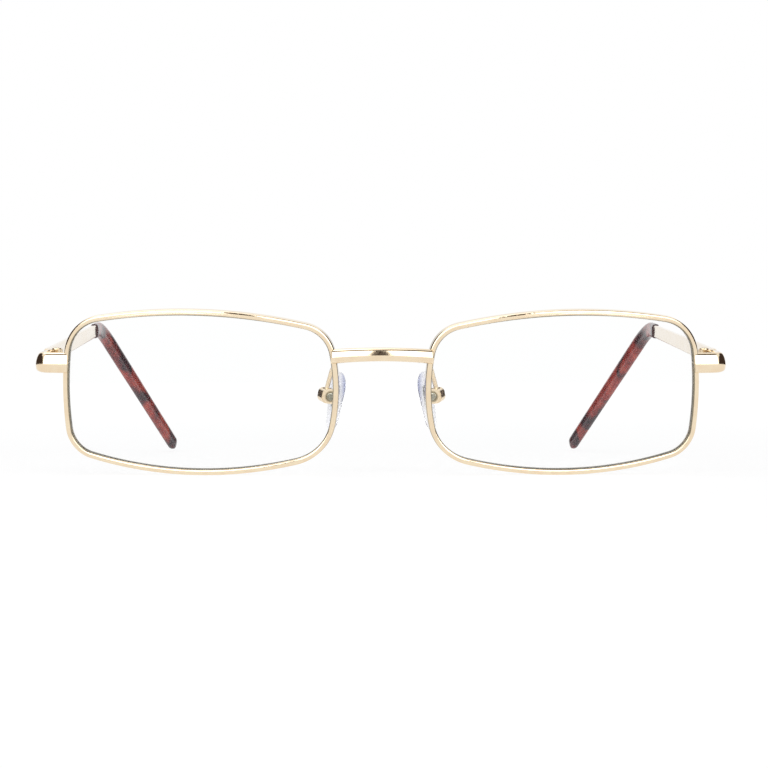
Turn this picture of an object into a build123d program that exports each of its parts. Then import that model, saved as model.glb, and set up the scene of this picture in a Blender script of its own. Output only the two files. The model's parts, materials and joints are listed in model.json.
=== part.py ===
from build123d import *
from math import cos, hypot, radians, sin, sqrt
import os

# Rectangular full-rim reading glasses, standing open on their lower rims and temple tips.
# Every piece of a side is drawn for the wearer's left (+X) and mirrored to the right.
# The front is drawn in its own leaning plane: across, up, and out towards the viewer.

# Lens outline, seen from the front
lens_width = 54.2
lens_height = 32.1
lens_gap = 19.3
corner_shares = [(0.958, 0.827), (0.967, -0.756), (-0.913, -0.782), (-0.934, 0.763)]
side_middle_shares = [(1, -0.14), (0, -1), (-1, -0.07), (0.19, 1)]
top_temple_radius = 7.6
low_temple_radius = 6.1
low_nose_radius = 9.4
top_nose_radius = 7.0

# Lens
lens_front_radius = 120.0
lens_back_radius = 190.0
lens_land = 0.04
lens_play = 0.02
bevel_reach = 0.45
bevel_width = 0.7
bevel_setback = 0.25
bevel_slope = 0.25

# Rim wire
rim_face = 1.2
rim_depth = 2.0
rim_rise = 0.4
rim_round = 0.42
rim_split = 0.1

# Attitude on the table, in degrees
front_lean = 9.5
lens_wrap = 4.0
temple_rise = 4.8

# Bridge bar
bridge_length = 20.6
bridge_height = 2.8
bridge_level_share = 0.458
bridge_top_arch = 0.5
bridge_low_arch = 0.7
bridge_depth = 1.6
bridge_overlay = 0.75
bridge_bow = 0.9
bridge_round = 0.5

# End piece, the lug over the rim that turns back to the hinge
lug_level_share = 0.3427
lug_height = 3.8
lug_hinge_height = 3.4
lug_thickness = 1.5
lug_overlay = 0.7
lug_sweep_back = 0.7
lug_lap = 0.75
lug_reach = 6.1
lug_taper = 1.6
lug_length = 8.6
lug_corner_radius = 3.0
lug_inner_radius = 1.0
lug_round = 0.5
level_edge_limit = 45.0

# Temple bar with its wire core
temple_thickness = 1.2
temple_front_height = 3.4
temple_rear_height = 3.0
temple_round = 0.35
temple_bar_length = 86.0
socket_length = 3.0
tongue_inset = 0.15
core_radius = 0.65
core_end_margin = 4.0

# Temple tip
tip_lead = 6.0
tip_mouth_height = 3.5
tip_mouth_thickness = 2.0
tip_mouth_corner = 0.85
tip_mouth_round = 0.25
tip_end_height = 4.4
tip_end_thickness = 2.6
tip_end_corner = 1.15
tip_end_round = 1.0
tip_floor_reach = 1.3
bend_radius = 13.0
tip_turn = 50.0
tip_inward_tilt = 25.5

# Hinge of three knuckles
hinge_inset = 1.4
knuckle_radius = 1.2
knuckle_height = 1.04
knuckle_gap = 0.06
pin_radius = 0.6
pin_play = 0.04
pin_head_radius = 1.0
pin_head_height = 0.5
pin_head_round = 0.2
leaf_thickness = 0.5
leaf_height = 2.6
leaf_length = 4.6
leaf_start = 1.05
butt_gap = 0.06

# Rim lock, two blocks closed by a screw
lock_width = 2.0
lock_depth = 2.2
lock_height = 1.6
lock_round = 0.3
lock_overlap = 0.25
lock_screw_radius = 0.55
lock_head_radius = 0.85
lock_head_height = 0.5

# Nose pad, in its own plane: back along the nose, up, and away from the nose
pad_length = 11.9
pad_width = 6.8
pad_low_width = 4.4
pad_thickness = 1.5
pad_nose_round = 0.65
pad_outer_round = 0.35
pad_beside = 0.35
pad_level = -2.95
pad_out = -9.6
pad_splay = 20.0
pad_slant = 10.0

# Core moulded into the pad, with the eye that the pad screw holds
core_plate_length = 5.0
core_plate_width = 2.8
core_plate_thickness = 0.5
core_plate_sink = 0.3
core_plate_corner = 1.0
eye_reach = 1.1
eye_radius = 0.8
eye_play = 0.08

# Pad box and screw
box_gap = 0.35
box_depth = 2.6
box_width = 2.6
box_height = 3.0
box_wall = 0.5
box_round = 1.1
box_slot_width = 1.5
box_level = 0.85
pad_screw_radius = 0.45
pad_head_radius = 0.65
pad_head_height = 0.25

# Pad arm wire
arm_radius = 0.45
arm_seat_share = 0.66
arm_sink = 0.3
arm_top_beside = 0.6
arm_lift = 0.6
arm_back = 3.6
arm_bend_radius = 1.1

overrun = 5.0


# Planes and places
def tilted(plane, across, up, out, turn=(0, 0, 0)):
    """A plane moved and turned inside another one."""
    return Plane(plane.location * Location((across, up, out), turn))


def in_front(across, up, out):
    """A point given in the leaning front plane."""
    return front_plane.from_local_coords(Vector(across, up, out))


def sag(radius, reach):
    """How far a sphere falls back, this far from its middle."""
    return radius - sqrt(radius**2 - reach**2)


def rim_out(across, up):
    """How far out the left rim stands at a place of the front plane."""
    turn = radians(lens_wrap)
    local_across = (across - lens_centre) / cos(turn)
    local_out = rim_rise - sag(lens_front_radius + rim_rise, hypot(local_across, up))
    return local_out * cos(turn) - local_across * sin(turn)


front_plane = Plane.XZ.rotated((front_lean, 0, 0))
out_axis = Axis(front_plane.origin, front_plane.z_dir)
plan_plane = Plane(front_plane.origin, x_dir=front_plane.x_dir, z_dir=-front_plane.y_dir)
side_plane = Plane(front_plane.origin, x_dir=-front_plane.z_dir, z_dir=front_plane.x_dir)
lens_centre = (lens_gap + lens_width) / 2
lens_plane = tilted(front_plane, lens_centre, 0, 0, (0, lens_wrap, 0))
sphere_centre = (0, 0, -lens_front_radius)
sphere_turn = (90, 0, 0)

bridge_level = bridge_level_share * lens_height / 2
lug_level = lug_level_share * lens_height / 2
rim_half_reach = lens_width / 2 - bevel_reach + rim_face
rim_outer_across = lens_centre + rim_half_reach * cos(radians(lens_wrap))
lug_start_across = rim_outer_across - lug_lap
lug_front_out = rim_out(lug_start_across, lug_level) + lug_overlay
lug_back_out = lug_front_out - lug_thickness
lug_outer_across = rim_outer_across + lug_reach
temple_outer_across = lug_outer_across - lug_taper
lug_inner_across = temple_outer_across - temple_thickness

hinge_across = lug_inner_across - hinge_inset
rise = radians(temple_rise)
hinge_place = in_front(hinge_across, lug_level, lug_front_out - lug_length)
hinge_plane = Plane(hinge_place, x_dir=(1, 0, 0), z_dir=(0, -sin(rise), cos(rise)))
butt_plane = Plane(hinge_place, x_dir=(1, 0, 0), z_dir=hinge_plane.y_dir)

bar_across = hinge_inset + temple_thickness / 2
mouth_back = temple_bar_length - socket_length
bend_back = mouth_back + tip_lead
tilt = radians(tip_inward_tilt)
turn = radians(tip_turn)
bend_plane = Plane(
    hinge_plane.from_local_coords(Vector(bar_across, bend_back, 0)),
    x_dir=hinge_plane.y_dir,
    z_dir=cos(tilt) * hinge_plane.x_dir - sin(tilt) * hinge_plane.z_dir,
)

pad_across = lens_gap / 2 + pad_beside
pad_turn_plane = tilted(front_plane, pad_across, pad_level, pad_out, (0, 90 - pad_splay, 0))
pad_plane = tilted(pad_turn_plane, 0, 0, 0, (-pad_slant, 0, 0))
eye_plane = Plane(
    pad_plane.from_local_coords(Vector(0, box_level, eye_reach)),
    x_dir=pad_plane.y_dir,
    z_dir=pad_plane.x_dir,
)


# Outline shared by the rim and the lens: four bowed sides and their corners
lens_corners = [(a * lens_width / 2, b * lens_height / 2) for a, b in corner_shares]
lens_middles = [(a * lens_width / 2, b * lens_height / 2) for a, b in side_middle_shares]
corner_radii = [top_temple_radius, low_temple_radius, low_nose_radius, top_nose_radius]
lens_sides = [
    ThreePointArc(lens_corners[place - 1], lens_middles[place - 1], lens_corners[place])
    for place in range(len(lens_corners))
]


def lens_outline(growth):
    """What the discs of the four sides have in common, grown or shrunk all round."""
    with BuildSketch() as outline:
        for side in lens_sides:
            centre = side.arc_center
            with Locations(Plane(centre, x_dir=centre - side @ 0.5).location):
                Circle(side.radius + growth, mode=Mode.INTERSECT if outline.faces() else Mode.ADD)
        for corner, radius in zip(lens_corners, corner_radii):
            fillet(outline.vertices().sort_by_distance(corner)[0], radius + growth)
    return outline.sketch


def curved_slab(outline, front_radius, thickness):
    """The outline as a slab of even thickness, bowed like the front of the lens."""
    with BuildPart() as slab:
        with BuildSketch(lens_plane.offset(-lens_height / 2)):
            add(outline)
        extrude(amount=lens_height)
        with Locations(lens_plane):
            with Locations(sphere_centre):
                Sphere(front_radius, rotation=sphere_turn, mode=Mode.INTERSECT)
                Sphere(front_radius - thickness, rotation=sphere_turn, mode=Mode.SUBTRACT)
    return slab.part


def bevel(play):
    """The roof-shaped edge of the lens, which sits in the groove of the rim."""
    front_radius = lens_front_radius - bevel_setback + play
    with BuildPart() as edge:
        add(curved_slab(lens_outline(play), front_radius, bevel_width + 2 * play))
        chamfer(edge.faces().filter_by(GeomType.SPHERE).edges(), bevel_slope)
    return edge.part


# Rim: rounded wire with a groove for the lens, split at the temple side
with BuildSketch() as rim_ring:
    add(lens_outline(rim_face - bevel_reach))
    add(lens_outline(-bevel_reach), mode=Mode.SUBTRACT)
with BuildPart() as rim_wire:
    add(curved_slab(rim_ring.sketch, lens_front_radius + rim_rise, rim_depth))
    front_face = rim_wire.faces().filter_by(GeomType.SPHERE).sort_by(out_axis)[-1]
    fillet(front_face.outer_wire().edges(), rim_round)
    front_face = rim_wire.faces().filter_by(GeomType.SPHERE).sort_by(out_axis)[-1]
    fillet(front_face.inner_wires()[0].edges(), rim_round)
with BuildPart() as lens_opening:
    with BuildSketch(lens_plane):
        add(lens_outline(-bevel_reach))
    extrude(amount=overrun, both=True)
with BuildPart() as rim:
    add(rim_wire.part)
    add(bevel(0), mode=Mode.SUBTRACT)
    with Locations(tilted(lens_plane, rim_half_reach, lug_level, -overrun / 2)):
        Box(overrun, rim_split, 2 * overrun, mode=Mode.SUBTRACT)

# Lens: thin meniscus with the bevel round its edge, thick enough for it at the farthest corner
lens_reach = max((edge @ 0.5).length for edge in lens_outline(0).edges())
bevel_depth = bevel_setback + bevel_width + lens_land
edge_thinning = max(0, sag(lens_front_radius, lens_reach) - sag(lens_back_radius, lens_reach))
lens_centre_thickness = bevel_depth + edge_thinning
with BuildPart() as lens:
    add(curved_slab(lens_outline(-bevel_reach - lens_play), lens_front_radius, 2 * overrun))
    with Locations(tilted(lens_plane, 0, 0, -lens_centre_thickness - lens_back_radius)):
        Sphere(lens_back_radius, rotation=sphere_turn, mode=Mode.SUBTRACT)
    add(bevel(-lens_play))

# Bridge: arched and bowed bar over the front of both rims
half_bridge = bridge_length / 2
bridge_top = bridge_level + bridge_height / 2
bridge_low = bridge_level - bridge_height / 2
bridge_front_out = rim_out(half_bridge, bridge_level) + bridge_overlay
bridge_back_out = bridge_front_out - bridge_depth


def arched_band(first, first_arch, second, second_arch):
    """Face between two arcs that rise towards the middle of the bridge."""
    with BuildSketch() as band:
        with BuildLine():
            ThreePointArc((-half_bridge, first), (0, first + first_arch), (half_bridge, first))
            Line((half_bridge, first), (half_bridge, second))
            ThreePointArc((half_bridge, second), (0, second + second_arch), (-half_bridge, second))
            Line((-half_bridge, second), (-half_bridge, first))
        make_face()
    return band.sketch


with BuildPart() as bridge:
    with BuildSketch(front_plane):
        add(arched_band(bridge_top, bridge_top_arch, bridge_low, bridge_low_arch))
    extrude(amount=overrun, both=True)
    with BuildSketch(plan_plane.offset(-bridge_level)):
        add(arched_band(bridge_front_out, bridge_bow, bridge_back_out, bridge_bow))
    extrude(amount=overrun, both=True, mode=Mode.INTERSECT)
    fillet(bridge.faces().sort_by(out_axis)[-1].edges(), bridge_round)
    for cutter in [rim_wire.part, lens_opening.part]:
        add(cutter, mode=Mode.SUBTRACT)
        add(cutter.mirror(Plane.YZ), mode=Mode.SUBTRACT)

# End piece: lug over the rim front that turns back and ends square to the temple
lug_corner = (lug_outer_across, lug_front_out - lug_sweep_back)
lug_inner_corner = (lug_inner_across, lug_back_out - lug_sweep_back)
lug_rear_out = lug_front_out - lug_length
with BuildPart() as end_piece:
    with BuildSketch(plan_plane.offset(-lug_level)) as lug_plan:
        with BuildLine():
            Polyline(
                (lug_start_across, lug_front_out),
                lug_corner,
                (temple_outer_across, lug_rear_out),
                (temple_outer_across, lug_rear_out - overrun),
                (lug_inner_across, lug_rear_out - overrun),
                lug_inner_corner,
                (lug_start_across, lug_back_out),
                close=True,
            )
        make_face()
        fillet(lug_plan.vertices().sort_by_distance(lug_corner)[0], lug_corner_radius)
        fillet(lug_plan.vertices().sort_by_distance(lug_inner_corner)[0], lug_inner_radius)
    extrude(amount=lug_height, both=True)
    with BuildSketch(side_plane):
        with BuildLine():
            Polyline(
                (-lug_front_out - overrun, lug_level + lug_height / 2),
                (-lug_front_out, lug_level + lug_height / 2),
                (-lug_rear_out + overrun, lug_level + lug_hinge_height / 2),
                (-lug_rear_out + overrun, lug_level - lug_hinge_height / 2),
                (-lug_front_out, lug_level - lug_height / 2),
                (-lug_front_out - overrun, lug_level - lug_height / 2),
                close=True,
            )
        make_face()
    extrude(amount=lug_outer_across + overrun, mode=Mode.INTERSECT)
    front_face = end_piece.faces().sort_by(out_axis)[-1]
    corner_face = end_piece.faces().filter_by(GeomType.CYLINDER).sort_by(SortBy.AREA)[-1]
    outer_edges = (front_face.edges() + corner_face.edges()).filter_by(
        lambda edge: abs(edge.tangent_at(0).dot(front_plane.y_dir)) < sin(radians(level_edge_limit))
    )
    fillet(outer_edges, lug_round)
    split(bisect_by=butt_plane, keep=Keep.BOTTOM)
    add(rim_wire.part, mode=Mode.SUBTRACT)


# Rim lock: a block on each end of the split wire, closed by a screw from below
lock_across = rim_outer_across - lock_overlap + lock_width / 2
lock_out = lug_back_out - lock_depth / 2


def lock_block(side):
    """The block above (side 1) or below (side -1) the split of the rim."""
    level = lug_level + side * (rim_split + lock_height) / 2
    with BuildPart() as block:
        with Locations(tilted(front_plane, lock_across, level, lock_out)):
            Box(lock_width, lock_height, lock_depth)
        outer_face = block.faces().sort_by(Axis.X)[-1]
        fillet(outer_face.edges(), lock_round)
        with Locations(Plane(in_front(lock_across, level, lock_out), z_dir=front_plane.y_dir)):
            Cylinder(lock_screw_radius, 2 * lock_height, mode=Mode.SUBTRACT)
        add(rim_wire.part, mode=Mode.SUBTRACT)
        add(end_piece.part, mode=Mode.SUBTRACT)
    return block


rim_lock_upper = lock_block(1)
rim_lock_lower = lock_block(-1)

lock_reach = rim_split / 2 + lock_height
lock_low_plane = Plane(
    in_front(lock_across, lug_level - lock_reach, lock_out), z_dir=front_plane.y_dir
)
with BuildPart() as rim_screw:
    with BuildSketch(lock_low_plane):
        Circle(lock_screw_radius)
    extrude(amount=2 * lock_reach)
    with BuildSketch(lock_low_plane):
        Circle(lock_head_radius)
    extrude(amount=-lock_head_height)

# Hinge: two knuckles on the end piece, one on the temple, and a screw from above
knuckle_step = knuckle_height + knuckle_gap
hinge_reach = knuckle_step + knuckle_height / 2


def hinge_leaf(side, levels, bore_radius):
    """Plate behind (side 1) or ahead (side -1) of the axis, with knuckles at some levels."""
    web_length = leaf_start + leaf_thickness
    with BuildPart() as leaf:
        with BuildSketch(hinge_plane.offset(-leaf_height / 2)):
            with Locations((hinge_inset - leaf_thickness / 2, side * (leaf_start + leaf_length) / 2)):
                Rectangle(leaf_thickness, leaf_length - leaf_start)
        extrude(amount=leaf_height)
        for level in levels:
            with BuildSketch(hinge_plane.offset(level - knuckle_height / 2)):
                Circle(knuckle_radius)
                with Locations((knuckle_radius / 2, side * web_length / 2)):
                    Rectangle(knuckle_radius, web_length)
            extrude(amount=knuckle_height)
        with Locations(hinge_plane):
            Cylinder(bore_radius, 2 * overrun, mode=Mode.SUBTRACT)
    return leaf


front_hinge = hinge_leaf(-1, [knuckle_step, -knuckle_step], pin_radius)
temple_hinge = hinge_leaf(1, [0], pin_radius + pin_play)
with BuildPart() as hinge_screw:
    with BuildSketch(hinge_plane.offset(-hinge_reach)):
        Circle(pin_radius)
    extrude(amount=2 * hinge_reach)
    with BuildSketch(hinge_plane.offset(hinge_reach)):
        Circle(pin_head_radius)
    extrude(amount=pin_head_height)
    fillet(hinge_screw.edges().filter_by(GeomType.CIRCLE).sort_by(Axis.Z)[-1], pin_head_round)

# Path of the temple: straight, one bend, then straight down to the table
floor_level = rim.part.bounding_box().min.Z


def along_bend(forward, up, side=0):
    """A point given from the start of the bend."""
    return bend_plane.from_local_coords(Vector(forward, up, side))


def on_bend(angle):
    """A point of the bend, after this much of its turn."""
    return along_bend(bend_radius * sin(angle), -bend_radius * (1 - cos(angle)))


bend_end = on_bend(turn)
tip_direction = along_bend(cos(turn), -sin(turn)) - bend_plane.origin
tip_across = along_bend(sin(tilt) * sin(turn), sin(tilt) * cos(turn), cos(tilt)) - bend_plane.origin
tip_run = (bend_end.Z - floor_level - tip_floor_reach) / -tip_direction.Z
tip_end = bend_end + tip_run * tip_direction


def bar_plane(back):
    """Section plane of the temple bar, this far behind the hinge axis."""
    place = hinge_plane.from_local_coords(Vector(bar_across, back, 0))
    return Plane(place, x_dir=hinge_plane.x_dir, z_dir=hinge_plane.y_dir)


def temple_path(back, end_margin):
    """Line through the temple from a place on the bar to near the end of the tip."""
    with BuildLine() as path:
        Line(bar_plane(back).origin, bend_plane.origin)
        ThreePointArc(bend_plane.origin, on_bend(turn / 2), bend_end)
        Line(bend_end, tip_end - end_margin * tip_direction)
    return path.line


# Temple: flat bar, then a stepped tongue and a round wire inside the tip
bar_side = Plane(bar_plane(0).origin, x_dir=hinge_plane.y_dir, z_dir=hinge_plane.x_dir)
with BuildPart() as temple:
    with BuildSketch(bar_side):
        with BuildLine():
            Polyline(
                (butt_gap, temple_front_height / 2),
                (mouth_back, temple_rear_height / 2),
                (mouth_back, -temple_rear_height / 2),
                (butt_gap, -temple_front_height / 2),
                close=True,
            )
        make_face()
    extrude(amount=temple_thickness / 2, both=True)
    flat_faces = temple.faces().sort_by(Axis(bar_side.origin, bar_side.z_dir))
    for flat_face in (flat_faces[0], flat_faces[-1]):
        fillet(flat_face.edges().sort_by(SortBy.LENGTH)[-2:], temple_round)
    with BuildSketch(bar_plane(mouth_back)):
        Rectangle(temple_thickness - 2 * tongue_inset, temple_rear_height - 2 * tongue_inset)
    extrude(amount=socket_length)
    with BuildSketch(bar_plane(temple_bar_length)):
        Circle(core_radius)
    sweep(path=temple_path(temple_bar_length, core_end_margin))

# Temple tip: sleeve that widens towards its rounded end
with BuildPart() as temple_tip:
    with BuildSketch(bar_plane(mouth_back)):
        RectangleRounded(tip_mouth_thickness, tip_mouth_height, tip_mouth_corner)
    with BuildSketch(Plane(tip_end, x_dir=tip_across, z_dir=tip_direction)):
        RectangleRounded(tip_end_thickness, tip_end_height, tip_end_corner)
    sweep(path=temple_path(mouth_back, 0), multisection=True)
    fillet(temple_tip.faces().sort_by_distance(tip_end)[0].edges(), tip_end_round)
    mouth_face = temple_tip.faces().sort_by_distance(bar_plane(mouth_back).origin)[0]
    fillet(mouth_face.edges(), tip_mouth_round)
    add(temple.part, mode=Mode.SUBTRACT)

# Pad core: plate inside the pad with an eye for the pad screw
stem_width = box_slot_width - 2 * eye_play
with BuildPart() as pad_core:
    with BuildSketch(pad_plane.offset(-core_plate_sink - core_plate_thickness)):
        with Locations((0, box_level)):
            RectangleRounded(core_plate_width, core_plate_length, core_plate_corner)
    extrude(amount=core_plate_thickness)
    with BuildSketch(pad_plane.offset(-core_plate_sink)):
        with Locations((0, box_level)):
            Rectangle(stem_width, 2 * eye_radius)
    extrude(amount=core_plate_sink + eye_reach)
    with Locations(eye_plane):
        Cylinder(eye_radius, stem_width)
        Cylinder(pad_screw_radius + pin_play, 2 * box_width, mode=Mode.SUBTRACT)

# Nose pad: soft drop-shaped pad, rounder towards the nose
with BuildPart() as nose_pad:
    with BuildSketch(pad_plane.offset(-pad_thickness)):
        with Locations((0, (pad_length - pad_width) / 2)):
            Circle(pad_width / 2)
        with Locations((0, -(pad_length - pad_low_width) / 2)):
            Circle(pad_low_width / 2)
        make_hull()
    extrude(amount=pad_thickness)
    pad_axis = Axis(pad_plane.origin, pad_plane.z_dir)
    fillet(nose_pad.faces().sort_by(pad_axis)[0].edges(), pad_nose_round)
    fillet(nose_pad.faces().sort_by(pad_axis)[-1].edges(), pad_outer_round)
    add(pad_core.part, mode=Mode.SUBTRACT)

# Pad box: small rounded cup with a slot for the eye, and its screw
box_face = box_gap + box_depth
with BuildPart() as box_blank:
    with Locations(tilted(pad_plane, 0, box_level, box_gap + box_depth / 2)):
        Box(box_width, box_height, box_depth)
    cross_edges = box_blank.edges().filter_by(Axis(pad_plane.origin, pad_plane.x_dir))
    fillet(cross_edges.sort_by(Axis(pad_plane.origin, pad_plane.z_dir))[-2:], box_round)
with BuildPart() as pad_box:
    add(box_blank.part)
    with Locations(tilted(pad_plane, 0, box_level, box_gap + (box_depth - box_wall) / 2)):
        Box(box_slot_width, 2 * box_height, box_depth - box_wall, mode=Mode.SUBTRACT)
    with Locations(eye_plane):
        Cylinder(pad_screw_radius, 2 * box_width, mode=Mode.SUBTRACT)
with BuildPart() as pad_screw:
    with BuildSketch(eye_plane.offset(-box_width / 2)):
        Circle(pad_screw_radius)
    extrude(amount=box_width)
    with BuildSketch(eye_plane.offset(-box_width / 2)):
        Circle(pad_head_radius)
    extrude(amount=-pad_head_height)

# Pad arm: wire from the back of the rim, over and down into the top of the pad box
nose_side = lens_sides[-1]
side_place = nose_side @ arm_seat_share
wire_middle = (side_place - nose_side.arc_center).normalized() * (rim_face / 2 - bevel_reach)
seat_place = side_place + wire_middle
rim_back_radius = lens_front_radius + rim_rise - rim_depth
seat_back = sag(rim_back_radius, seat_place.length) + rim_depth - rim_rise
arm_box_out = box_face - box_round
arm_seat = lens_plane.from_local_coords(seat_place + Vector(0, 0, -seat_back))
arm_way = in_front(arm_top_beside, arm_lift, -arm_back) - front_plane.origin
arm_top = arm_seat + arm_way
with BuildPart() as pad_arm:
    with BuildLine():
        arm_line = FilletPolyline(
            lens_plane.from_local_coords(seat_place + Vector(0, 0, arm_sink - seat_back)),
            arm_top,
            pad_plane.from_local_coords(Vector(0, box_level, arm_box_out)),
            radius=arm_bend_radius,
        )
    with BuildSketch(Plane(arm_line @ 0, z_dir=arm_line % 0)):
        Circle(arm_radius)
    sweep(path=arm_line)
    add(rim_wire.part, mode=Mode.SUBTRACT)
    add(box_blank.part, mode=Mode.SUBTRACT)

# Both sides, stood on the table with the origin under the middle of the whole
left_pieces = {
    "rim": rim,
    "lens": lens,
    "end_piece": end_piece,
    "rim_lock_upper": rim_lock_upper,
    "rim_lock_lower": rim_lock_lower,
    "rim_screw": rim_screw,
    "front_hinge": front_hinge,
    "temple_hinge": temple_hinge,
    "hinge_screw": hinge_screw,
    "temple": temple,
    "temple_tip": temple_tip,
    "nose_pad": nose_pad,
    "pad_core": pad_core,
    "pad_box": pad_box,
    "pad_screw": pad_screw,
    "pad_arm": pad_arm,
}
pieces = {"bridge": bridge.part}
for name, piece in left_pieces.items():
    with BuildPart() as other_side:
        mirror(piece.part, about=Plane.YZ)
    pieces["left_" + name] = piece.part
    pieces["right_" + name] = other_side.part

boxes = [piece.bounding_box() for piece in pieces.values()]
front_end = min(box.min.Y for box in boxes)
rear_end = max(box.max.Y for box in boxes)
table_level = min(box.min.Z for box in boxes)
to_table = Location((0, -(front_end + rear_end) / 2, -table_level))

os.makedirs("parts", exist_ok=True)
for name, piece in pieces.items():
    standing = piece.moved(to_table)
    standing.label = name
    export_step(standing, "parts/" + name + ".step")
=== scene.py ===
import bmesh
import bpy
import json
from collections import namedtuple
from math import asin, copysign, cos, pi, radians, sin, sqrt, tan
from mathutils import Matrix, Vector
from mathutils.geometry import convex_hull_2d, tessellate_polygon


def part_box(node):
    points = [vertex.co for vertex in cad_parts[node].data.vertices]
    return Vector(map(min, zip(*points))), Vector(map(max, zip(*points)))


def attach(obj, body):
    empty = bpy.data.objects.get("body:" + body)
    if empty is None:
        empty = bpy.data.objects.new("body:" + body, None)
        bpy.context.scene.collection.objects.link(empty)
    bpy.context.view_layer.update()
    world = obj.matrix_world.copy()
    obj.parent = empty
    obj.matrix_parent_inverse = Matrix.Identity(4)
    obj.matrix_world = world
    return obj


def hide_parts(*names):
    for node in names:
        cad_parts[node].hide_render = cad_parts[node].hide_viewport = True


# Rectangular metal reading glasses, standing open on a pale table.
# Sizes and places are in metres. Pieces of the wearer's left are made first and mirrored to the right.

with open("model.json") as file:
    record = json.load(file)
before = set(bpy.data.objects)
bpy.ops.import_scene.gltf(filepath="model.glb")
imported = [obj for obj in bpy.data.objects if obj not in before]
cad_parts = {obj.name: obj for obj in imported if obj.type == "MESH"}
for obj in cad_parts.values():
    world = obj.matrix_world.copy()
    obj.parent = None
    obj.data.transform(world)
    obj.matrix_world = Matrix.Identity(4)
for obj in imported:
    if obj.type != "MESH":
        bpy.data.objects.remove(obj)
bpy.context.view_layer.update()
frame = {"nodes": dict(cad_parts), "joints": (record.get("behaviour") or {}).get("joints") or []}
joints = {joint["name"]: joint for joint in frame["joints"]}
mm = 0.001

# Attitude of the front and the pads, in degrees
front_lean = 9.5
pad_splay = 20.0
pad_slant = 10.0

# Middle of the front, and the lenses in it
front_middle = Vector((0, -69.3436, 16.3923)) * mm
lens_middle_across = 36.75 * mm
lens_wrap = 4.0
lens_curve = 120.0 * mm
lens_thickness = 1.3 * mm
lens_bevel = 0.4 * mm

# Painted shade and painted dark reflection on the rims: where it changes, across from the mirror plane
nose_shade_start = 10.5 * mm
nose_shade_end = 13.0 * mm
nose_shade_share = 0.7
temple_shade_start = 48.0 * mm
temple_shade_end = 60.0 * mm
temple_shade_gain = 0.3

# Where that painted shade fades in, by how a wall faces: 1 straight toward the lens, -1 straight away
lens_facing_fade = (0.45, 0.8)
nose_facing_fade = (-0.6, -0.85)

# Bridge: an arched bar with a crowned front, across, up and out from the front's middle
bridge_half = 10.3 * mm
bridge_level = 7.351 * mm
bridge_half_height = 1.4 * mm
bridge_top_arch = 0.5 * mm
bridge_low_arch = 0.7 * mm
bridge_out = -0.181 * mm
bridge_depth = 1.6 * mm
bridge_bow = 0.9 * mm
bridge_crown = 0.45 * mm
bridge_crown_shift = -0.26

# End piece: a crowned lug that turns back to the hinge
lug_start = Vector((63.35, -4.002)) * mm
lug_corner = Vector((70.632, -4.702)) * mm
lug_rear = Vector((69.032, -12.602)) * mm
lug_radius = 3.0 * mm
lug_inner_start = Vector((63.35, -5.502)) * mm
lug_inner_corner = Vector((67.832, -6.202)) * mm
lug_inner_rear = Vector((67.832, -12.602)) * mm
lug_inner_radius = 1.0 * mm
lug_level = 5.5003 * mm
lug_half_height = 2.0 * mm
lug_half_rear = 1.7 * mm
lug_crown = 0.45 * mm
lug_crown_shift = -0.4

# Rounding of the edges and ends of bridge and end pieces
edge_round = 0.3 * mm
edge_power = 12
end_round = 0.3 * mm

# Temple tip: along the bar, round a bend, then straight down and inward to the table
bend_start = Vector((68.432, 30.865, 31.344)) * mm
bend_end = Vector((66.433, 41.140, 28.001)) * mm
tip_end = Vector((52.570, 70.496, 1.3)) * mm
bend_radius = 13.0 * mm
bend_turn = radians(50.0)
tip_tilt = radians(25.5)
temple_rise = radians(4.8)
tip_lead = 6.0 * mm
tip_mouth_halves = (1.0 * mm, 1.75 * mm)
tip_bend_halves = (1.17 * mm, 2.02 * mm)
tip_end_halves = (1.1 * mm, 1.72 * mm)
tip_round = 1.9 * mm
tip_least_share = 0.05
tip_blunt_share = 0.65
section_power = 2.9
mouth_dark_end = 27.4 * mm
mouth_dark_fade = 0.7 * mm

# Nose pad
pad_length = 11.9 * mm
pad_width = 6.8 * mm
pad_low_width = 4.4 * mm
pad_thickness = 1.5 * mm
pad_nose_round = 0.65 * mm
pad_outer_round = 0.35 * mm
pad_face_inset = 1.9 * mm
pad_shoulder_inset = 1.1 * mm
pad_dome = 0.22 * mm
pad_shoulder_share = 0.4
eye_reach = 1.1 * mm
box_level = 0.85 * mm

# Painted cool shade band of the pads, across from the mirror plane
pad_band_start = 7.3 * mm
pad_band_end = 8.6 * mm

# Screws, and how far their seats lie from the middle of what they hold
ScrewSizes = namedtuple(
    "ScrewSizes", "shank_radius head_radius head_height length recess_half recess_reach recess_depth"
)
hinge_screw_sizes = ScrewSizes(0.6 * mm, 0.95 * mm, 0.28 * mm, 3.2 * mm, 0.13 * mm, 0.6 * mm, 0.2 * mm)
pad_screw_sizes = ScrewSizes(0.45 * mm, 0.85 * mm, 0.25 * mm, 2.6 * mm, 0.12 * mm, 0.5 * mm, 0.18 * mm)
rim_screw_sizes = ScrewSizes(0.55 * mm, 0.85 * mm, 0.5 * mm, 3.3 * mm, 0.13 * mm, 0.7 * mm, 0.26 * mm)
pad_box_width = 2.6 * mm
hinge_reach = 1.62 * mm
lock_reach = 1.65 * mm
screw_steps = 40

# Half of a screw head's outline, as shares of its radius and of its height from the top
head_shape = ((0.72, 0.05), (0.86, 0.175), (0.95, 0.35), (1.0, 0.6), (1.0, 1.0))

# Painted shade in a ring round the head of a pad screw, by distance from its axis
screw_shade_start = 0.95 * mm
screw_shade_end = 1.35 * mm

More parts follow.
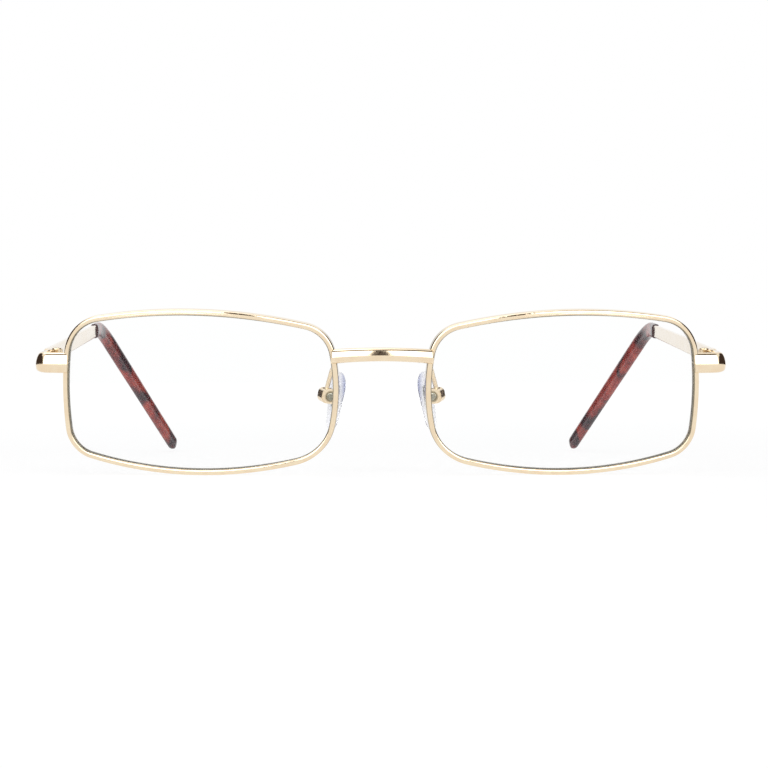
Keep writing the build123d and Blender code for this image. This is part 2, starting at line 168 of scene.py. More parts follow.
# Colours
gold_colours = ((0.87, 0.73, 0.53), (0.85, 0.69, 0.49))
temple_colours = ((0.84, 0.74, 0.61), (0.82, 0.71, 0.55))
inner_colours = ((0.82, 0.68, 0.48), (0.78, 0.62, 0.42))
steel_colours = ((0.36, 0.35, 0.29), (0.28, 0.27, 0.21))
# Painted shade on the rims, and painted shade round the pad screw heads
rim_painted_shade_colour = (0.24, 0.21, 0.15)
box_painted_shade_colour = (0.34, 0.28, 0.18)
red_stops = ((0.3, (0.19, 0.018, 0.016)), (0.52, (0.32, 0.042, 0.034)), (0.72, (0.47, 0.085, 0.055)))
dark_stops = ((0.3, (0.018, 0.007, 0.014)), (0.75, (0.075, 0.014, 0.02)))
lens_colour = (0.995, 0.998, 0.998, 1.0)
pad_colours = ((0.93, 0.935, 0.975), (0.975, 0.975, 0.99))
pad_painted_shade_colour = (0.46, 0.50, 0.70)
paper_colours = ((0.86, 0.86, 0.87), (0.9, 0.9, 0.9))
white = (1.0, 1.0, 1.0)
dark_mirror_colour = (0.05, 0.035, 0.03)

# Noise scales of the materials: a higher number is a finer grain
metal_clouds = 420.0
metal_scratches = 9000.0
metal_speckle = 26000.0
tortoise_patches = 150.0
tortoise_clouds = 380.0
tortoise_veins = 900.0
tortoise_pores = 16000.0
lens_smears = 90.0
lens_dust = 5200.0
pad_milk = 260.0
paper_fibre = 900.0

# Stretch of noises across, back and up: a lower number is a longer grain
scratch_stretch = (1.0, 0.12, 1.0)
tortoise_stretch = (1.0, 0.8, 0.9)
smear_stretch = (1.0, 1.0, 0.4)

# Spans of a noise over which one look fades into another
metal_tint_fade = (0.38, 0.66)
red_fade = (0.41, 0.58)
smear_fade = (0.62, 0.9)
dust_fade = (0.8, 0.84)
milk_fade = (0.35, 0.7)

# Most roughness that smears and dust give to the lenses
smear_haze = 0.004
dust_haze = 0.02

# Table: its half size, and the distances between which it turns from shaded to plain white
table_reach = 4.0
table_near = 0.12
table_far = 0.9

# Glow of the table, and its share over lit paper, at those two distances
table_glow = (1.09, 1.05)
table_glow_share = (0.76, 1.0)

# Light panels, in front to both sides, and the light over the glasses
panel_across = 0.85
panel_forward = -1.3
panel_level = 0.8
panel_size = (1.5, 1.6)
panel_radiance = 2.0
top_light_place = (-0.3, 0.15, 1.1)
top_light_size = (0.8, 0.8)
top_light_radiance = 1.3

# Dark zones that the metal mirrors: spans of a direction's parts over which the dark fades in
behind_fade = (-0.02, 0.02)
forward_fade = (0.0, -0.05)
behind_side_fade = (0.5, 0.54)
side_fade = (0.82, 0.84)
side_top_fade = (0.75, 0.65)
over_low_fade = (0.80, 0.84)
over_top_fade = (0.975, 0.95)
ahead_fade = (0.14, 0.13)
ahead_top_fade = (0.8, 0.75)
ahead_narrowing = 0.12

# Soft light from all round
sky_colour = (0.97, 0.98, 1.0)
sky_strength = 0.35

# Camera, with its focal length and sensor in millimetres
camera_place = Vector((-7.3, -499.34, 20.39)) * mm
camera_turn = (89.734, 0, -1.02)
camera_lens = 100.78
camera_sensor = 36.0
camera_clip = 0.01


# Shader building
class Shader:
    """A material or world node tree with short calls for the nodes used here."""

    def __init__(self, owner):
        owner.use_nodes = True
        self.tree = owner.node_tree
        self.tree.nodes.clear()

    def node(self, kind, inputs=None, **settings):
        made = self.tree.nodes.new(kind)
        for name, value in settings.items():
            setattr(made, name, value)
        for name, value in (inputs or {}).items():
            self.feed(made.inputs[name], value)
        return made

    def feed(self, socket, value):
        if isinstance(value, bpy.types.NodeSocket):
            self.tree.links.new(value, socket)
        else:
            socket.default_value = value

    def maths(self, operation, first, second=0.0, third=0.0):
        made = self.node("ShaderNodeMath", operation=operation)
        for socket, value in zip(made.inputs, (first, second, third)):
            self.feed(socket, value)
        return made.outputs[0]

    def product(self, first, *others):
        for other in others:
            first = self.maths("MULTIPLY", first, other)
        return first

    def largest(self, first, *others):
        for other in others:
            first = self.maths("MAXIMUM", first, other)
        return first

    def vectors(self, operation, *values):
        return self.node("ShaderNodeVectorMath", dict(enumerate(values)), operation=operation).outputs

    def place(self):
        return self.node("ShaderNodeTexCoord").outputs["Object"]

    def stretched(self, scale):
        return self.node("ShaderNodeMapping", {"Vector": self.place(), "Scale": scale}).outputs[0]

    def noise(self, scale, detail=2.0, roughness=0.5, place=None, distortion=0.0):
        inputs = {
            "Vector": place or self.place(),
            "Scale": scale,
            "Detail": detail,
            "Roughness": roughness,
            "Distortion": distortion,
        }
        return self.node("ShaderNodeTexNoise", inputs).outputs["Fac"]

    def span(self, value, low, high, start=0.0, end=1.0):
        inputs = {"Value": value, "From Min": start, "From Max": end, "To Min": low, "To Max": high}
        return self.node("ShaderNodeMapRange", inputs).outputs[0]

    def step(self, value, start, end):
        inputs = {"Value": value, "From Min": start, "From Max": end}
        made = self.node("ShaderNodeMapRange", inputs, interpolation_type="SMOOTHSTEP")
        return made.outputs[0]

    def ramp(self, value, stops):
        made = self.node("ShaderNodeValToRGB", {"Fac": value})
        points = made.color_ramp.elements
        while len(points) < len(stops):
            points.new(1.0)
        for point, (position, colour) in zip(points, stops):
            point.position = position
            point.color = (*colour, 1.0)
        return made.outputs["Color"]

    def mixed(self, share, first, second):
        made = self.node("ShaderNodeMix", data_type="RGBA")
        self.feed(made.inputs[0], share)
        self.feed(made.inputs[6], first if hasattr(first, "node") else (*first, 1.0))
        self.feed(made.inputs[7], second if hasattr(second, "node") else (*second, 1.0))
        return made.outputs[2]

    def bump(self, height, strength, distance):
        inputs = {"Height": height, "Strength": strength, "Distance": distance}
        return self.node("ShaderNodeBump", inputs).outputs[0]

    def surface(self, shader):
        self.tree.links.new(shader, self.node("ShaderNodeOutputMaterial").inputs["Surface"])


def rim_painted_shade(build):
    """Share of painted shade on a rim: high on walls toward the lens, and some painted dark reflection on
    walls toward the nose.
    """
    place = build.node("ShaderNodeSeparateXYZ", {0: build.place()}).outputs
    normal = build.node("ShaderNodeNewGeometry").outputs["Normal"]
    normal = build.node("ShaderNodeSeparateXYZ", {0: normal}).outputs
    from_plane = build.maths("ABSOLUTE", place["X"])
    across = build.maths("SUBTRACT", lens_middle_across, from_plane)
    up = build.maths("SUBTRACT", front_middle.z, place["Z"])
    reach = build.maths("SQRT", build.maths("MULTIPLY_ADD", across, across, build.product(up, up)))
    turned = build.product(normal["X"], build.maths("SIGN", place["X"]))
    dot = build.maths("MULTIPLY_ADD", turned, across, build.product(normal["Z"], up))
    facing = build.maths("DIVIDE", dot, reach)
    temple_side = build.step(from_plane, temple_shade_start, temple_shade_end)
    toward_lens = build.maths("MULTIPLY_ADD", temple_side, temple_shade_gain, facing)
    nose_side = build.step(from_plane, nose_shade_end, nose_shade_start)
    toward_nose = build.product(build.step(facing, *nose_facing_fade), nose_side, nose_shade_share)
    return build.largest(build.step(toward_lens, *lens_facing_fade), toward_nose)


def pad_screw_painted_shade(build):
    """Share of painted shade on a pad box: high round the head of its screw."""
    hole = joints["left_pad_rock"]
    folded = build.vectors("ABSOLUTE", build.place())[0]
    leftward = build.vectors("MULTIPLY", folded, (1, -1, 1))[0]
    offset = build.vectors("SUBTRACT", leftward, hole["pos_m"])[0]
    aside = build.vectors("CROSS_PRODUCT", offset, hole["axis"])[0]
    distance = build.vectors("LENGTH", aside)["Value"]
    return build.step(distance, screw_shade_end, screw_shade_start)


def polished_metal(name, colours, roughness, painted_shade=None, painted_shade_colour=None):
    """Plated metal: tint clouds, uneven polish, drawn scratches and, where given, a painted shade over
    the tint.
    """
    material = bpy.data.materials.new(name)
    build = Shader(material)
    clouds = build.noise(metal_clouds, 3.0)
    scratches = build.noise(metal_scratches, 2.0, place=build.stretched(scratch_stretch))
    speckle = build.noise(metal_speckle, 1.0)
    tint = build.mixed(build.step(clouds, *metal_tint_fade), *colours)
    # Painted shade mixed over the tint, where given
    if painted_shade:
        tint = build.mixed(painted_shade(build), tint, painted_shade_colour)
    polish = build.span(clouds, 0.7 * roughness, 1.3 * roughness)
    wear = build.span(scratches, -0.25 * roughness, 0.35 * roughness)
    grain = build.maths("ADD", scratches, build.product(speckle, 0.5))
    inputs = {
        "Base Color": tint,
        "Metallic": 1.0,
        "Roughness": build.maths("ADD", polish, wear),
        "Normal": build.bump(grain, strength=0.05, distance=0.00001),
    }
    build.surface(build.node("ShaderNodeBsdfPrincipled", inputs).outputs[0])
    return material


def tortoise_acetate():
    """Red-brown acetate: red windows, dark patches, a dark mouth and a polished coat."""
    material = bpy.data.materials.new("tip_tortoise")
    build = Shader(material)
    flow = build.stretched(tortoise_stretch)
    patches = build.noise(tortoise_patches, 2.0, 0.5, flow, 0.7)
    clouds = build.noise(tortoise_clouds, 2.0, 0.4, flow, 0.5)
    veins = build.noise(tortoise_veins, 1.0, 0.5, flow, 0.4)
    red = build.ramp(clouds, red_stops)
    dark = build.ramp(veins, dark_stops)
    back = build.node("ShaderNodeSeparateXYZ", {0: build.place()}).outputs["Y"]
    away_from_mouth = build.step(back, mouth_dark_end - mouth_dark_fade, mouth_dark_end + mouth_dark_fade)
    light = build.product(build.step(patches, *red_fade), away_from_mouth)
    pores = build.noise(tortoise_pores, 2.0)
    inputs = {
        "Base Color": build.mixed(light, dark, red),
        "Roughness": build.span(pores, 0.22, 0.34),
        "IOR": 1.5,
        "Specular IOR Level": 0.4,
        "Coat Weight": 0.5,
        "Coat Roughness": 0.15,
        "Normal": build.bump(clouds, strength=0.04, distance=0.00003),
    }
    build.surface(build.node("ShaderNodeBsdfPrincipled", inputs).outputs[0])
    return material


def clear_lens():
    """Clear lens with faint cleaning marks. The low index gives the weak glare of a coated lens."""
    material = bpy.data.materials.new("lens_clear")
    build = Shader(material)
    smears = build.noise(lens_smears, 4.0, 0.6, build.stretched(smear_stretch), 0.8)
    dust = build.noise(lens_dust, 1.0)
    haze = build.product(build.step(smears, *smear_fade), smear_haze)
    specks = build.product(build.step(dust, *dust_fade), dust_haze)
    inputs = {
        "Base Color": lens_colour,
        "Roughness": build.maths("ADD", haze, specks),
        "IOR": 1.18,
        "Transmission Weight": 1.0,
    }
    build.surface(build.node("ShaderNodeBsdfPrincipled", inputs).outputs[0])
    return material


def clear_pad():
    """Soft clear plastic, a little milky, with a painted cool shade band along the nose side."""
    material = bpy.data.materials.new("pad_clear")
    build = Shader(material)
    milk = build.noise(pad_milk, 2.0)
    across = build.node("ShaderNodeSeparateXYZ", {0: build.place()}).outputs["X"]
    # Painted cool shade along the nose edge of the clear pad
    nose_edge = build.step(build.maths("ABSOLUTE", across), pad_band_end, pad_band_start)
    clear = build.mixed(build.step(milk, *milk_fade), *pad_colours)
    inputs = {
        "Base Color": build.mixed(nose_edge, clear, pad_painted_shade_colour),
        "Roughness": build.span(milk, 0.02, 0.05),
        "IOR": 1.03,
        "Transmission Weight": 0.75,
        "Normal": build.bump(milk, strength=0.02, distance=0.00003),
    }
    build.surface(build.node("ShaderNodeBsdfPrincipled", inputs).outputs[0])
    return material


gold = polished_metal("gold_metal", gold_colours, 0.09)
gold_temple = polished_metal("gold_temple", temple_colours, 0.1)
# The rims get a painted shade toward the lens and a painted dark reflection toward the nose
gold_rim = polished_metal("gold_rim", gold_colours, 0.06, rim_painted_shade, rim_painted_shade_colour)
# The pad boxes get a painted shade round the heads of their screws
gold_box = polished_metal("gold_box", gold_colours, 0.2, pad_screw_painted_shade, box_painted_shade_colour)
gold_dark = polished_metal("gold_inner", inner_colours, 0.14)
steel = polished_metal("screw_steel", steel_colours, 0.14)
tortoise = tortoise_acetate()
lens_glass = clear_lens()
pad_plastic = clear_pad()

# Materials of the pieces that keep the frame's own shape
finishes = {
    "bridge": gold,
    "rim": gold_rim,
    "end_piece": gold,
    "temple": gold_temple,
    "pad_box": gold_box,
    "pad_arm": gold,
    "rim_lock_upper": gold_dark,
    "rim_lock_lower": gold_dark,
    "front_hinge": gold_dark,
    "temple_hinge": gold_dark,
    "rim_screw": steel,
    "hinge_screw": gold_dark,
    "pad_screw": steel,
    "pad_core": steel,
    "lens": lens_glass,
    "temple_tip": tortoise,
    "nose_pad": pad_plastic,
}
for name, node in frame["nodes"].items():
    finish = finishes[name.removeprefix("left_").removeprefix("right_")]
    node.data.materials.clear()
    node.data.materials.append(finish)


# Mesh building
def new_piece(name, vertices, faces, material):
    """A smooth-shaded object of these vertices and faces."""
    mesh = bpy.data.meshes.new(name)
    mesh.from_pydata([tuple(v) for v in vertices], [], faces)
    mesh.materials.append(material)
    build = bmesh.new()
    build.from_mesh(mesh)
    bmesh.ops.recalc_face_normals(build, faces=build.faces)
    build.to_mesh(mesh)
    build.free()
    piece = bpy.data.objects.new(name, mesh)
    bpy.context.scene.collection.objects.link(piece)
    return piece


def show(name, vertices, faces, material, body, smooth_angle):
    """A smooth piece that rides on a body in place of the frame's node of that name."""
    piece = new_piece(name + "_shown", vertices, faces, material)
    piece.data.shade_smooth()
    piece.data.set_sharp_from_angle(angle=radians(smooth_angle))
    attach(piece, body)
    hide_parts(name)
    return piece


def both_sides(name, vertices, faces, material, body, smooth_angle):
    """The left piece and its mirror image. Only the front is one body for both."""
    pieces = []
    for side, sign in (("left_", 1), ("right_", -1)):
        turned = [Vector((sign * v.x, v.y, v.z)) for v in vertices]
        own_body = body if body == "front" else side + body
        pieces.append(show(side + name, turned, faces, material, own_body, smooth_angle))
    return pieces


def bridged(first, second, count):
    """Faces between two rings of vertices that start at these numbers."""
    return [
        (first + i, first + (i + 1) % count, second + (i + 1) % count, second + i)
        for i in range(count)
    ]


# Directions of the front
front_turn = Matrix.Rotation(radians(90 + front_lean), 3, "X")
lens_turn = front_turn @ Matrix.Rotation(radians(lens_wrap), 3, "Y")


def in_front(across, up, out):
    """A place given across, up and out from the middle of the front."""
    return front_middle + front_turn @ Vector((across, up, out))


# Lenses
def sag(radius, reach):
    """How far a sphere has fallen back at this reach from its axis."""
    return radius - sqrt(radius * radius - reach * reach)


def lens_edge(steps):
    """The edge of the frame's lens in the lens's own directions, in even steps."""
    corners = [lens_turn.transposed() @ v.co for v in frame["nodes"]["left_lens"].data.vertices]
    edge = [corners[i] for i in convex_hull_2d([v.xy for v in corners])]
    spans = [(edge[i] - edge[i - 1]).length for i in range(len(edge))]
    points = []
    walked = 0.0
    wanted = 0.0
    for i, span in enumerate(spans):
        while wanted < walked + span and len(points) < steps:
            points.append(edge[i - 1].lerp(edge[i], (wanted - walked) / span))
            wanted += sum(spans) / steps
        walked += span
    return points


def lenses(steps=120, ring_count=8):
    """Lenses of even thickness, so that what stands behind shows straight through them."""
    edge = lens_edge(steps)
    lows = [min(v[axis] for v in edge) for axis in (0, 1)]
    highs = [max(v[axis] for v in edge) for axis in (0, 1)]
    middle = Vector(((lows[0] + highs[0]) / 2, (lows[1] + highs[1]) / 2))
    reaches = [(v.xy - middle).length for v in edge]
    half = lens_thickness / 2
    apex = sum(v.z + sag(lens_curve - half, reach) for v, reach in zip(edge, reaches)) / steps
    drawn_in = []
    for i in range(steps):
        along = (edge[(i + 1) % steps].xy - edge[i - 1].xy).normalized()
        aside = Vector((-along.y, along.x))
        inward = aside if aside.dot(middle - edge[i].xy) > 0 else -aside
        drawn_in.append(edge[i].xy + lens_bevel * inward)
    rings = []
    for side in (1, -1):
        curve = lens_curve - half + side * half
        face = []
        for k in range(1, ring_count + 1):
            for point in drawn_in:
                flat = middle.lerp(point, k / ring_count)
                height = apex + side * half - sag(curve, (flat - middle).length)
                face.append(Vector((flat.x, flat.y, height)))
        rings.append(face)
    vertices = rings[0] + edge + rings[1]
    vertices += [Vector((middle.x, middle.y, apex + side * half)) for side in (1, -1)]
    edge_start = ring_count * steps
    back_start = edge_start + steps
    faces = []
    for start in (0, back_start):
        for k in range(ring_count - 1):
            faces += bridged(start + k * steps, start + (k + 1) * steps, steps)
    faces += bridged(edge_start - steps, edge_start, steps)
    faces += bridged(edge_start, back_start + (ring_count - 1) * steps, steps)
    for start, centre in ((0, len(vertices) - 2), (back_start, len(vertices) - 1)):
        faces += [(start + i, start + (i + 1) % steps, centre) for i in range(steps)]
    placed = [lens_turn @ v for v in vertices]
    both_sides("lens", placed, faces, lens_glass, "front", smooth_angle=25)


lenses()


# Bridge and end pieces
def crowned_bar(stations, crown, shift, steps=9):
    """Vertices and faces of a bar with a crowned outer face.

    A station is an outer and an inner point, across and out, with a level and a half height."""
    heights = [sin(pi / 2 * k / steps) for k in range(steps, -steps - 1, -1)]
    vertices = []
    for outer, inner, level, half_height in stations:
        inward = (inner - outer).normalized()
        for height in heights:
            drop = crown * (height - shift) ** 2 + edge_round * height ** edge_power
            point = outer + drop * inward
            vertices.append(in_front(point.x, level + half_height * height, point.y))
        for height in (-1, 1):
            vertices.append(in_front(inner.x, level + half_height * height, inner.y))
    count = len(heights) + 2
    faces = [tuple(range(count)), tuple(range(len(vertices) - count, len(vertices)))]
    for i in range(len(stations) - 1):
        faces += bridged(i * count, (i + 1) * count, count)
    return vertices, faces


def end_drop(distance):
    """How far the outer face is drawn in near a rounded end."""
    if distance > end_round:
        return 0.0
    return end_round - sqrt(end_round ** 2 - (end_round - distance) ** 2)


def bridge(half_steps=16):
    """A bar that arches up and bows out between the rims."""
    stations = []
    turns = [sin(pi / 2 * k / half_steps) for k in range(-half_steps, half_steps + 1)]
    for turn in turns:
        rise = 1 - turn * turn
        across = bridge_half * turn
        front = bridge_out + bridge_bow * rise
        drop = end_drop(bridge_half - abs(across))
        top = bridge_level + bridge_half_height + bridge_top_arch * rise
        low = bridge_level - bridge_half_height + bridge_low_arch * rise
        outer = Vector((across, front - drop))
        inner = Vector((across, front - bridge_depth))
        stations.append((outer, inner, (top + low) / 2, (top - low) / 2))
    vertices, faces = crowned_bar(stations, bridge_crown, bridge_crown_shift)
    show("bridge", vertices, faces, gold, "front", smooth_angle=40)


def rounded_turn(start, corner, end, radius, steps):
    """Points from start to end round a corner: two straight runs and an arc, equal in number."""
    first = (start - corner).normalized()
    second = (end - corner).normalized()
    half_angle = first.angle(second) / 2
    centre = corner + (first + second).normalized() * radius / sin(half_angle)
    arc_start = corner + first * radius / tan(half_angle)
    arc_end = corner + second * radius / tan(half_angle)
    points = [start.lerp(arc_start, i / steps) for i in range(steps)]
    for i in range(steps):
        spoke = (arc_start - centre).normalized().slerp((arc_end - centre).normalized(), i / steps)
        points.append(centre + radius * spoke)
    points += [arc_end.lerp(end, i / steps) for i in range(steps + 1)]
    return points


def end_pieces(steps=10):
    """Lugs that start on the rim's front and turn back to the hinge."""
    outer_line = rounded_turn(lug_start, lug_corner, lug_rear, lug_radius, steps)
    inner_line = rounded_turn(lug_inner_start, lug_inner_corner, lug_inner_rear, lug_inner_radius, steps)
    stations = []
    for outer, inner in zip(outer_line, inner_line):
        share = (lug_start.y - outer.y) / (lug_start.y - lug_rear.y)
        half_height = lug_half_height + share * (lug_half_rear - lug_half_height)
        stations.append((outer, inner, lug_level, half_height))
    vertices, faces = crowned_bar(stations, lug_crown, lug_crown_shift)
    both_sides("end_piece", vertices, faces, gold, "front", smooth_angle=40)


bridge()
end_pieces()


# Temple tips
def blend_halves(first, second, share):
    """Half sizes between two sections."""
    return [low + share * (high - low) for low, high in zip(first, second)]


def tip_stations(forward, rise, bend_steps=14, run_steps=10, round_steps=8):
    """Places, turns and half sizes along a tip: its lead, the bend, the straight run and the end."""
    stations = [(bend_start - tip_lead * forward, 0.0, tip_mouth_halves)]
    for i in range(bend_steps + 1):
        share = i / bend_steps
        angle = bend_turn * share
        place = bend_start + bend_radius * (sin(angle) * forward - (1 - cos(angle)) * rise)
        stations.append((place, angle, blend_halves(tip_mouth_halves, tip_bend_halves, share)))
    down = (tip_end - bend_end).normalized()
    round_start = tip_end - tip_round * down
    for i in range(1, run_steps + 1):
        share = i / run_steps
        place = bend_end.lerp(round_start, share)
        stations.append((place, bend_turn, blend_halves(tip_bend_halves, tip_end_halves, share)))
    for i in range(1, round_steps + 1):
        turn = pi / 2 * i / round_steps
        narrow = max(cos(turn), tip_least_share)
        blunt = (1 - tip_blunt_share) * narrow + tip_blunt_share * sqrt(narrow)
        halves = (tip_end_halves[0] * narrow, tip_end_halves[1] * blunt)
        stations.append((round_start + tip_round * sin(turn) * down, bend_turn, halves))
    return stations


def rounded_section(spin):
    """Across and up of a point on a rounded rectangle of half size 1."""
    return [copysign(abs(value) ** (2 / section_power), value) for value in (cos(spin), sin(spin))]


def temple_tips(steps=36):
    """Sleeves over the ends of the temples, of rounded rectangular section."""
    forward = Vector((0, cos(temple_rise), sin(temple_rise)))
    reach = bend_end - bend_start - bend_radius * sin(bend_turn) * forward
    rise = -reach.normalized()
    aside = rise.cross(forward)
    aside = aside if aside.x > 0 else -aside
    stations = tip_stations(forward, rise)
    vertices = []
    for place, angle, halves in stations:
        tangent = cos(angle) * forward - sin(angle) * rise
        normal = sin(angle) * forward + cos(angle) * rise
        wide = cos(tip_tilt) * aside + sin(tip_tilt) * normal
        high = tangent.cross(wide)
        for i in range(steps):
            across, up = rounded_section(2 * pi * i / steps)
            vertices.append(place + across * halves[0] * wide + up * halves[1] * high)
    faces = [tuple(range(steps)), tuple(range(len(vertices) - steps, len(vertices)))]
    for i in range(len(stations) - 1):
        faces += bridged(i * steps, (i + 1) * steps, steps)
    both_sides("temple_tip", vertices, faces, tortoise, "temple", smooth_angle=50)


temple_tips()


# Nose pads
pad_turn = front_turn @ Matrix.Rotation(radians(90 - pad_splay), 3, "Y")
pad_turn = pad_turn @ Matrix.Rotation(radians(-pad_slant), 3, "X")
eye_place = Vector(joints["left_pad_rock"]["pos_m"])
pad_place = eye_place - pad_turn @ Vector((0, box_level, eye_reach))


def drop_outline(inset, arc_steps, side_steps):
    """Outline round a large upper and a small lower circle, drawn in by an inset."""
    high = (pad_length - pad_width) / 2
    low = -(pad_length - pad_low_width) / 2
    slope = asin((pad_low_width - pad_width) / 2 / (high - low))
    radius_high = pad_width / 2 - inset
    radius_low = pad_low_width / 2 - inset
    points = []
    for i in range(arc_steps + 1):
        angle = slope + (pi - 2 * slope) * i / arc_steps
        points.append(Vector((radius_high * cos(angle), high + radius_high * sin(angle), 0)))
    low_arc = []
    for i in range(arc_steps + 1):
        angle = pi - slope + (pi + 2 * slope) * i / arc_steps
        low_arc.append(Vector((radius_low * cos(angle), low + radius_low * sin(angle), 0)))
    left_side = [points[-1].lerp(low_arc[0], i / side_steps) for i in range(1, side_steps)]
    right_side = [low_arc[-1].lerp(points[0], i / side_steps) for i in range(1, side_steps)]
    return points + left_side + low_arc + right_side


def pad_profile(round_steps=5):
    """Inset and depth of each ring of the pad, from the middle of one face to the other."""
    rings = [(pad_face_inset, 0.0), (pad_shoulder_inset, 0.0)]
    turns = [pi / 2 * i / round_steps for i in range(round_steps + 1)]
    for turn in turns:
        rings.append((pad_outer_round * (1 - sin(turn)), -pad_outer_round * (1 - cos(turn))))
    for turn in turns:
        inset = pad_nose_round * (1 - cos(turn))
        depth = pad_thickness - pad_dome - pad_nose_round * (1 - sin(turn))
        rings.append((inset, -depth))
    rings.append((pad_shoulder_inset, -(pad_thickness - pad_shoulder_share * pad_dome)))
    rings.append((pad_face_inset, -pad_thickness))
    return rings


def nose_pads(arc_steps=20, side_steps=8):
    """Drop-shaped pads with a crowned face toward the nose."""
    vertices = []
    rings = pad_profile()
    for inset, depth in rings:
        for point in drop_outline(inset, arc_steps, side_steps):
            vertices.append(pad_place + pad_turn @ (point + Vector((0, 0, depth))))
    count = len(vertices) // len(rings)
    faces = [tuple(range(count)), tuple(range((len(rings) - 1) * count, len(rings) * count))]
    for ring in range(len(rings) - 1):
        faces += bridged(ring * count, (ring + 1) * count, count)
    for pad in both_sides("nose_pad", vertices, faces, pad_plastic, "pad", smooth_angle=50):
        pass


nose_pads()


# Screws
def screw_recess(sizes, arms):
    """Outline of the slot, or of the cross with four arms, in a screw's head."""
    reach = sizes.recess_reach
    half = sizes.recess_half
    if arms == 2:
        corners = ((reach, -half), (reach, half), (-reach, half), (-reach, -half))
        return [Vector((x, y, 0)) for x, y in corners]
    arm = [Vector((x, y, 0)) for x, y in ((reach, -half), (reach, half), (half, half))]
    return [Matrix.Rotation(pi / 2 * k, 3, "Z") @ v for k in range(4) for v in arm]


def screw(name, head_top, direction, sizes, arms, material):
    """A turned screw: crowned head with a slot or cross recess, and its shank."""
    turn = direction.to_track_quat("Z", "Y").to_matrix()
    profile = [(radius * sizes.head_radius, -height * sizes.head_height) for radius, height in head_shape]
    profile.append((sizes.shank_radius, -sizes.head_height))
    profile.append((sizes.shank_radius, -sizes.head_height - sizes.length))
    circles = []
    for radius, height in profile:
        for i in range(screw_steps):
            angle = 2 * pi * i / screw_steps
            circles.append(Vector((radius * cos(angle), radius * sin(angle), height)))
    recess = screw_recess(sizes, arms)
    floor = [v - Vector((0, 0, sizes.recess_depth)) for v in recess]
    start = len(circles)
    count = len(recess)
    faces = []
    for ring in range(len(profile) - 1):
        faces += bridged(ring * screw_steps, (ring + 1) * screw_steps, screw_steps)
    faces.append(tuple(range(start - screw_steps, start)))
    flat_circle = [Vector((v.x, v.y, 0)) for v in circles[:screw_steps]]
    numbers = list(range(screw_steps)) + list(range(start, start + count))
    for triangle in tessellate_polygon([flat_circle, recess]):
        faces.append(tuple(numbers[i] for i in triangle))
    faces += bridged(start, start + count, count)
    faces.append(tuple(range(start + count, start + 2 * count)))
    placed = [head_top + turn @ v for v in circles + recess + floor]
    both_sides(name, placed, faces, material, "front", smooth_angle=35)


def screws():
    """Slotted screws in hinges and rim locks, and a cross screw in each pad box."""
    hinge_axis = Vector(joints["left_temple_fold"]["axis"])
    hinge_place = Vector(joints["left_temple_fold"]["pos_m"])
    hinge_top = hinge_place + (hinge_reach + hinge_screw_sizes.head_height) * hinge_axis
    screw("hinge_screw", hinge_top, hinge_axis, hinge_screw_sizes, 2, gold_dark)
    eye_axis = Vector(joints["left_pad_rock"]["axis"])
    pad_top = eye_place - (pad_box_width / 2 + pad_screw_sizes.head_height) * eye_axis
    screw("pad_screw", pad_top, -eye_axis, pad_screw_sizes, 4, steel)
    low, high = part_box("left_rim_screw")
    front_up = front_turn @ Vector((0, 1, 0))
    rim_top = (low + high) / 2 - (lock_reach + rim_screw_sizes.head_height / 2) * front_up
    screw("rim_screw", rim_top, -front_up, rim_screw_sizes, 2, steel)


screws()


# Table, light and camera
def table():
    """A wide pale sheet, white where the camera, a reflection or a clear piece looks at it."""
    signs = ((-1, -1), (1, -1), (1, 1), (-1, 1))
    corners = [Vector((table_reach * x, table_reach * y, 0)) for x, y in signs]
    material = bpy.data.materials.new("table_paper")
    build = Shader(material)
    paper_colour = build.mixed(build.noise(paper_fibre, 3.0), *paper_colours)
    paper = build.node("ShaderNodeBsdfDiffuse", {"Color": paper_colour})
    distance = build.vectors("LENGTH", build.place())["Value"]
    strength = build.span(distance, *table_glow, table_near, table_far)
    glow = build.node("ShaderNodeEmission", {"Color": (*white, 1.0), "Strength": strength})
    path = build.node("ShaderNodeLightPath").outputs
    seen = build.largest(path["Is Camera Ray"], path["Is Transmission Ray"], path["Is Glossy Ray"])
    share = build.product(seen, build.span(distance, *table_glow_share, table_near, table_far))
    inputs = {0: share, 1: paper.outputs[0], 2: glow.outputs[0]}
    build.surface(build.node("ShaderNodeMixShader", inputs).outputs[0])
    sheet = new_piece("table_sheet", corners, [(0, 1, 2, 3)], material)


def dark_zones(build):
    """Share of dark in each direction of the studio: beside, over and straight ahead."""
    way = build.node("ShaderNodeTexCoord").outputs["Generated"]
    parts = build.node("ShaderNodeSeparateXYZ", {0: way}).outputs
    sideways = build.maths("ABSOLUTE", parts["X"])
    forward = build.step(parts["Y"], *forward_fade)
    behind = build.step(parts["Y"], *behind_fade)
    beside = build.product(behind, build.step(sideways, *behind_side_fade))
    beside = build.largest(beside, build.step(sideways, *side_fade))
    beside = build.product(beside, build.step(parts["Z"], *side_top_fade))
    over = build.step(parts["Z"], *over_low_fade)
    over = build.product(over, build.step(parts["Z"], *over_top_fade), forward)
    narrowing = build.maths("MULTIPLY_ADD", parts["Z"], ahead_narrowing, sideways)
    ahead = build.step(narrowing, *ahead_fade)
    ahead = build.product(ahead, build.step(parts["Z"], *ahead_top_fade), forward)
    return build.largest(beside, over, ahead)


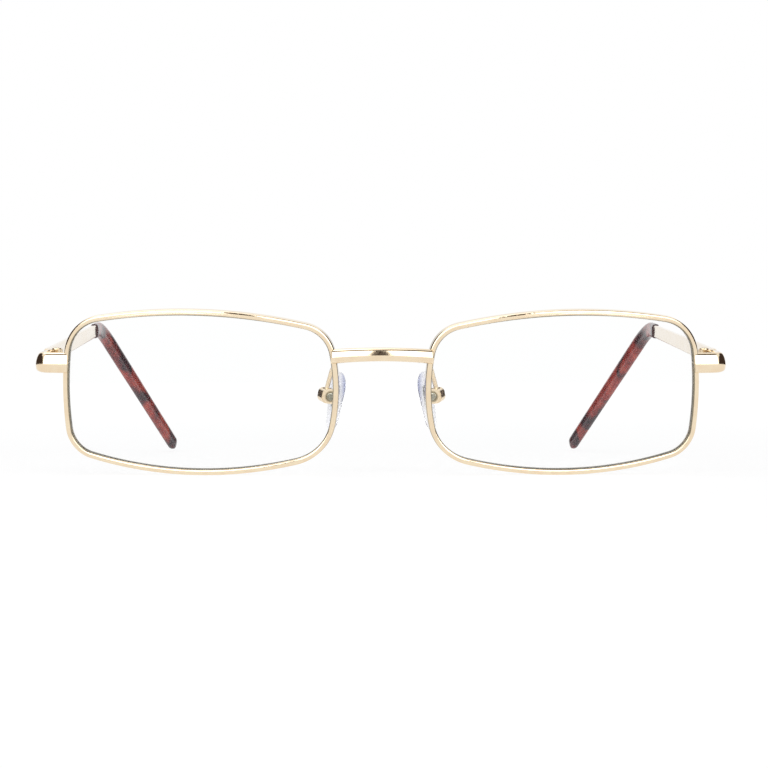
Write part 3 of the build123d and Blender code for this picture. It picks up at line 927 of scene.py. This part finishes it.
def studio():
    """White all round for the camera, white with dark zones for the metal to mirror, and soft light."""
    world = bpy.data.worlds.new("studio")
    bpy.context.scene.world = world
    build = Shader(world)
    mirrored = build.mixed(dark_zones(build), white, dark_mirror_colour)
    glossy = build.node("ShaderNodeBackground", {"Color": mirrored, "Strength": 1.0})
    plain = build.node("ShaderNodeBackground", {"Color": (*white, 1.0), "Strength": 1.0})
    soft = build.node("ShaderNodeBackground", {"Color": (*sky_colour, 1.0), "Strength": sky_strength})
    path = build.node("ShaderNodeLightPath").outputs
    inputs = {0: path["Is Glossy Ray"], 1: soft.outputs[0], 2: glossy.outputs[0]}
    lighting = build.node("ShaderNodeMixShader", inputs)
    seen = build.largest(path["Is Camera Ray"], path["Is Transmission Ray"])
    shown = build.node("ShaderNodeMixShader", {0: seen, 1: lighting.outputs[0], 2: plain.outputs[0]})
    output = build.node("ShaderNodeOutputWorld")
    build.tree.links.new(shown.outputs[0], output.inputs["Surface"])


def soft_light(name, place, target, size, radiance):
    """A wide soft box of this size and brightness that faces a target."""
    lamp = bpy.data.lights.new(name, "AREA")
    lamp.shape = "RECTANGLE"
    lamp.size, lamp.size_y = size
    lamp.energy = pi * size[0] * size[1] * radiance
    holder = bpy.data.objects.new(name, lamp)
    bpy.context.scene.collection.objects.link(holder)
    holder.location = place
    aim = Vector(target) - Vector(place)
    holder.rotation_euler = aim.to_track_quat("-Z", "Y").to_euler()


def lights():
    """A panel on either side in front, which faces straight back, and a light from above."""
    for name, across in (("left_panel", -panel_across), ("right_panel", panel_across)):
        place = (across, panel_forward, panel_level)
        soft_light(name, place, (across, 0, panel_level), panel_size, panel_radiance)
    soft_light("top_light", top_light_place, (0, 0, 0), top_light_size, top_light_radiance)


def camera():
    """The photograph's view, from in front and almost level with the glasses."""
    eye = bpy.data.cameras.new("camera")
    eye.sensor_width = camera_sensor
    eye.lens = camera_lens
    eye.clip_start = camera_clip
    holder = bpy.data.objects.new("camera", eye)
    bpy.context.scene.collection.objects.link(holder)
    holder.location = camera_place
    holder.rotation_euler = [radians(angle) for angle in camera_turn]
    bpy.context.scene.camera = holder


table()
studio()
lights()
camera()
bpy.context.scene.view_settings.view_transform = "Standard"

bpy.context.view_layer.update()
